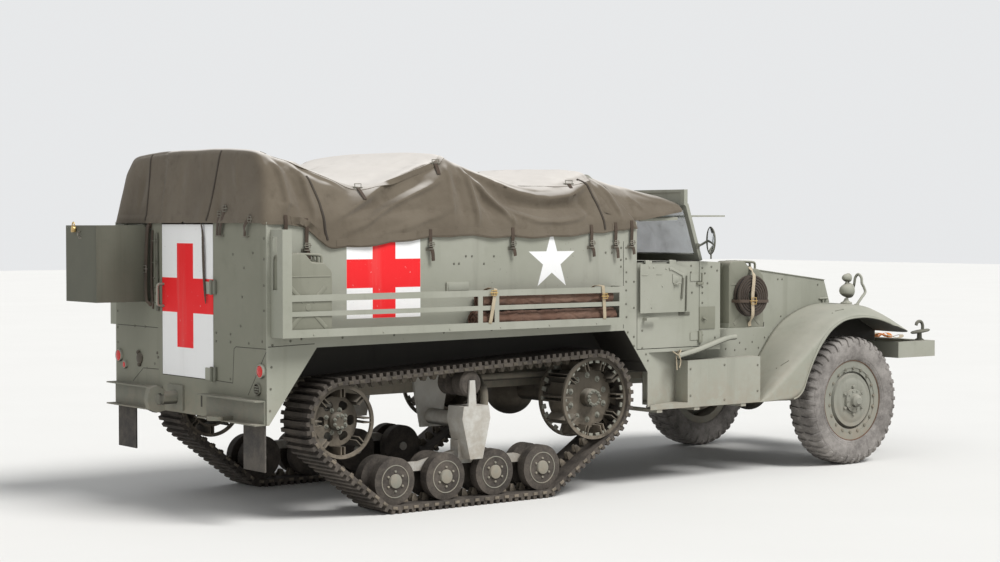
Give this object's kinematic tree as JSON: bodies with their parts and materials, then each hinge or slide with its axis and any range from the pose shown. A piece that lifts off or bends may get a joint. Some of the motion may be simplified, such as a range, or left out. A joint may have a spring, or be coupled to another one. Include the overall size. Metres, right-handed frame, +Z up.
{
  "type": "military ambulance truck",
  "caption": "Armoured half-track ambulance with front road wheels, rear band tracks, canvas roof over bows, side racks, hinged doors and window flaps, and a winch bumper.",
  "frame": {"origin": "middle of the footprint, on the ground", "axes": "X forward, Y to the vehicle's left, Z up"},
  "size_m": [6.495, 2.232, 2.29],
  "materials": {
    "olive_paint": "matt olive drab paint, dusty",
    "chassis_paint": "dark dusty olive paint",
    "wheel_paint": "matt olive paint, dusty",
    "tyre_rubber": "worn black rubber, dusty",
    "band_rubber": "worn rubber over steel cables",
    "engine_iron": "painted casting",
    "canvas": "proofed brown-olive canvas",
    "window_glass": "laminated flat glass",
    "lens_glass": "red glass",
    "seat_canvas": "padded duck cloth",
    "bakelite": "black moulded rim",
    "rope": "dark laid rope",
    "tarpaulin": "rolled brown cloth",
    "bare_steel": "worn steel",
    "flap_rubber": "sheet rubber"
  },
  "bodies": {
    "hull": {"front_axle": "chassis_paint", "drive_axle": "chassis_paint", "sprockets": "wheel_paint", "idlers": "wheel_paint", "bogie_right": "chassis_paint", "bogie_left": "chassis_paint", "bogie_wheels_right": "band_rubber", "bogie_wheels_left": "band_rubber", "track_right": "band_rubber", "track_left": "band_rubber", "chassis_frame": "chassis_paint", "engine_block": "engine_iron", "front_bumper": "olive_paint", "tow_hook": "olive_paint", "winch": "chassis_paint", "hull_side_right": "olive_paint", "hull_side_left": "olive_paint", "hull_rear": "olive_paint", "hull_floor": "olive_paint", "cowl": "olive_paint", "engine_armour": "olive_paint", "fender_right": "olive_paint", "fender_left": "olive_paint", "windscreen_frame": "olive_paint", "windscreen_glass": "window_glass", "mirrors": "olive_paint", "stowage_box": "olive_paint", "side_rack_right": "olive_paint", "side_rack_left": "olive_paint", "jerrycans": "olive_paint", "side_box_right": "olive_paint", "side_box_left": "olive_paint", "headlamps": "olive_paint", "towing_gear": "chassis_paint", "tail_lamps": "olive_paint", "mud_flaps": "flap_rubber", "cab_seats": "seat_canvas", "bench_seats": "seat_canvas", "steering_wheel": "bakelite", "canvas_top": "canvas", "canopy_bows": "wheel_paint", "rolled_tarpaulin": "tarpaulin", "rope_coil": "rope"},
    "knuckle_right": {"knuckle_right": "chassis_paint"},
    "knuckle_left": {"knuckle_left": "chassis_paint"},
    "wheel_right": {"wheel_right": "wheel_paint", "tyre_right": "tyre_rubber"},
    "wheel_left": {"wheel_left": "wheel_paint", "tyre_left": "tyre_rubber"},
    "cab_door_right": {"cab_door_right": "olive_paint"},
    "cab_door_left": {"cab_door_left": "olive_paint"},
    "door_flap_right": {"door_flap_right": "olive_paint"},
    "door_flap_left": {"door_flap_left": "olive_paint"},
    "rear_door": {"rear_door": "olive_paint"},
    "armour_visor": {"armour_visor": "olive_paint"},
    "stowage_lid": {"stowage_lid": "olive_paint"},
    "hood_top_right": {"hood_top_right": "olive_paint"},
    "hood_top_left": {"hood_top_left": "olive_paint"}
  },
  "joints": [
    {"name": "steer_right", "type": "hinge", "parent": "hull", "child": "knuckle_right", "pos_m": [2.2575, -0.672, 0.48], "axis": [0, 0, 1], "range_deg": [-28, 28]},
    {"name": "steer_left", "type": "hinge", "parent": "hull", "child": "knuckle_left", "pos_m": [2.2575, 0.672, 0.48], "axis": [0, 0, 1], "range_deg": [-28, 28]},
    {"name": "wheel_spin_right", "type": "hinge", "parent": "knuckle_right", "child": "wheel_right", "pos_m": [2.2575, -0.819, 0.48], "axis": [0, 1, 0], "continuous": true},
    {"name": "wheel_spin_left", "type": "hinge", "parent": "knuckle_left", "child": "wheel_left", "pos_m": [2.2575, 0.819, 0.48], "axis": [0, 1, 0], "continuous": true},
    {"name": "cab_door_right", "type": "hinge", "parent": "hull", "child": "cab_door_right", "pos_m": [0.627, -0.9883, 1.23], "axis": [0, 0, 1], "range_deg": [0, 80]},
    {"name": "cab_door_left", "type": "hinge", "parent": "hull", "child": "cab_door_left", "pos_m": [0.627, 0.9883, 1.23], "axis": [0, 0, -1], "range_deg": [0, 80]},
    {"name": "door_flap_right", "type": "hinge", "parent": "cab_door_right", "child": "door_flap_right", "pos_m": [0.2675, -0.994, 1.552], "axis": [-1, 0, 0], "range_deg": [0, 175]},
    {"name": "door_flap_left", "type": "hinge", "parent": "cab_door_left", "child": "door_flap_left", "pos_m": [0.2675, 0.994, 1.552], "axis": [1, 0, 0], "range_deg": [0, 175]},
    {"name": "rear_door", "type": "hinge", "parent": "hull", "child": "rear_door", "pos_m": [-2.8758, -0.3405, 1.15], "axis": [0, 0, 1], "range_deg": [0, 110]},
    {"name": "armour_visor", "type": "hinge", "parent": "hull", "child": "armour_visor", "pos_m": [0.59432, 0, 1.85964], "axis": [0, 1, 0], "range_deg": [0, 68]},
    {"name": "stowage_lid", "type": "hinge", "parent": "hull", "child": "stowage_lid", "pos_m": [-2.8885, 0.71, 1.803], "axis": [0, 1, 0], "range_deg": [0, 75]},
    {"name": "hood_top_right", "type": "hinge", "parent": "hull", "child": "hood_top_right", "pos_m": [0.9575, 0, 1.5604], "axis": [-0.9937, 0, 0.1124], "range_deg": [0, 70]},
    {"name": "hood_top_left", "type": "hinge", "parent": "hull", "child": "hood_top_left", "pos_m": [0.9575, 0, 1.5604], "axis": [0.9937, 0, -0.1124], "range_deg": [0, 70]}
  ],
  "couplings": [
    {"joint": "steer_left", "follows": "steer_right", "ratio": 1}
  ]
}
